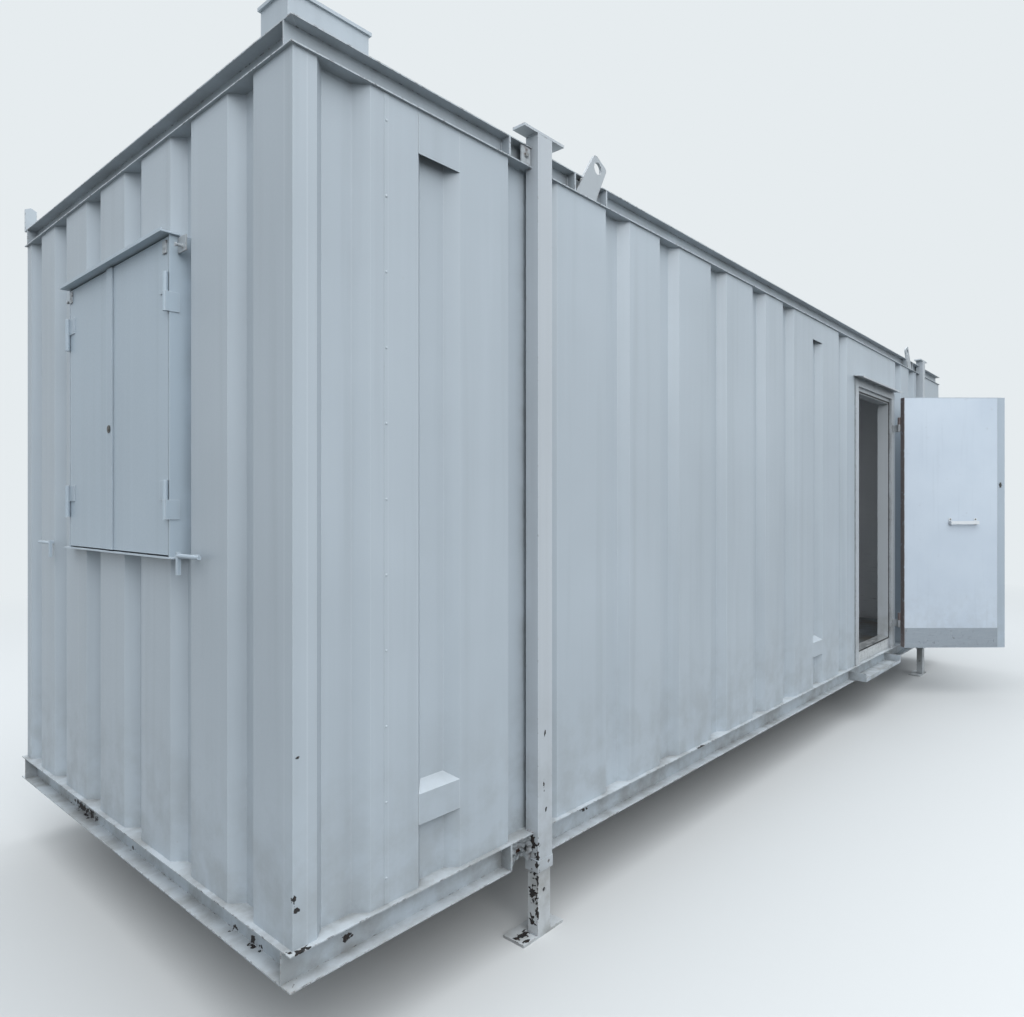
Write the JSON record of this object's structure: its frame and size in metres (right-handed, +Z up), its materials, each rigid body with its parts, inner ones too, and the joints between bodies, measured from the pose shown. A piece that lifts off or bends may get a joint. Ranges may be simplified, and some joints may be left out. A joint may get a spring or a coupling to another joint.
{
  "type": "portable site cabin",
  "caption": "Steel site cabin with folded sheet walls between channel rails, an outward opening door, a shuttered end window and telescopic jack legs that hold it off the ground.",
  "frame": {"origin": "on the ground, under the middle of the cabin and its open door together", "axes": "+X along the cabin, with the shuttered window in the -X end; -Y is the long side with the door; +Z up"},
  "size_m": [7.361, 3.2077, 3.2692],
  "materials": {
    "cabin_paint": "semi-gloss industrial paint over folded steel",
    "joist_primer": "matt primer",
    "floor_covering": "worn vinyl sheet",
    "lining_board": "smooth white faced board",
    "galvanised_roof": "weathered galvanised",
    "threshold_aluminium": "mill finish, scuffed",
    "kick_plate": "scuffed",
    "handle_coating": "white powder coat",
    "window_frame_upvc": "smooth",
    "window_glass": "clear float glass"
  },
  "bodies": {
    "cabin": {"base_side_rails": "cabin_paint", "base_end_rails": "cabin_paint", "corner_posts": "cabin_paint", "front_wall_sides": "cabin_paint", "front_wall_over_door": "cabin_paint", "rear_wall": "cabin_paint", "left_wall_sides": "cabin_paint", "left_wall_over_under": "cabin_paint", "right_wall": "cabin_paint", "roof_side_rails": "cabin_paint", "roof_end_rails": "cabin_paint", "leg_sleeves": "cabin_paint", "rail_stiffeners": "cabin_paint", "lifting_eyes": "cabin_paint", "door_jambs": "cabin_paint", "door_head": "cabin_paint", "door_canopy": "cabin_paint", "window_surround_sides": "cabin_paint", "shutter_canopy": "cabin_paint", "shutter_sill": "cabin_paint", "shutter_catches": "cabin_paint", "vent_hoods": "cabin_paint", "corner_bracket": "cabin_paint", "floor_joists": "joist_primer", "roof_joists": "joist_primer", "floor_deck": "floor_covering", "front_lining_sides": "lining_board", "front_lining_over_door": "lining_board", "rear_lining": "lining_board", "left_lining_sides": "lining_board", "left_lining_over_under": "lining_board", "right_lining": "lining_board", "ceiling_lining": "lining_board", "roof_sheet": "galvanised_roof", "door_threshold": "threshold_aluminium", "door_step": "cabin_paint", "window_frame_stiles": "window_frame_upvc", "window_frame_rails": "window_frame_upvc", "window_glass": "window_glass", "roof_vent_box": "cabin_paint", "roof_edge_rail": "galvanised_roof", "roof_edge_brackets": "galvanised_roof"},
    "door": {"door_leaf": "cabin_paint", "door_inner_panel": "lining_board", "door_kick_plate": "kick_plate", "door_pull_handle": "handle_coating"},
    "shutter_left": {"shutter_left": "cabin_paint"},
    "shutter_right": {"shutter_right": "cabin_paint"},
    "jack_leg_front_left": {"jack_leg_front_left": "cabin_paint"},
    "jack_leg_front_right": {"jack_leg_front_right": "cabin_paint"},
    "jack_leg_rear_left": {"jack_leg_rear_left": "cabin_paint"},
    "jack_leg_rear_right": {"jack_leg_rear_right": "cabin_paint"}
  },
  "joints": [
    {"name": "door_hinge", "type": "hinge", "parent": "cabin", "child": "door", "pos_m": [1.9315, -0.91099, 1.463], "axis": [0, 0, 1], "range_deg": [-131, 35]},
    {"name": "shutter_left_hinge", "type": "hinge", "parent": "cabin", "child": "shutter_left", "pos_m": [-3.68, 0.84452, 1.965], "axis": [0, 0, -1], "range_deg": [0, 165]},
    {"name": "shutter_right_hinge", "type": "hinge", "parent": "cabin", "child": "shutter_right", "pos_m": [-3.68, -0.11948, 1.965], "axis": [0, 0, 1], "range_deg": [0, 165]},
    {"name": "jack_leg_front_left_slide", "type": "slide", "parent": "cabin", "child": "jack_leg_front_left", "axis": [0, 0, 1], "range_m": [-0.3, 0]},
    {"name": "jack_leg_front_right_slide", "type": "slide", "parent": "cabin", "child": "jack_leg_front_right", "axis": [0, 0, 1], "range_m": [-0.3, 0]},
    {"name": "jack_leg_rear_left_slide", "type": "slide", "parent": "cabin", "child": "jack_leg_rear_left", "axis": [0, 0, 1], "range_m": [-0.3, 0]},
    {"name": "jack_leg_rear_right_slide", "type": "slide", "parent": "cabin", "child": "jack_leg_rear_right", "axis": [0, 0, 1], "range_m": [-0.3, 0]}
  ]
}
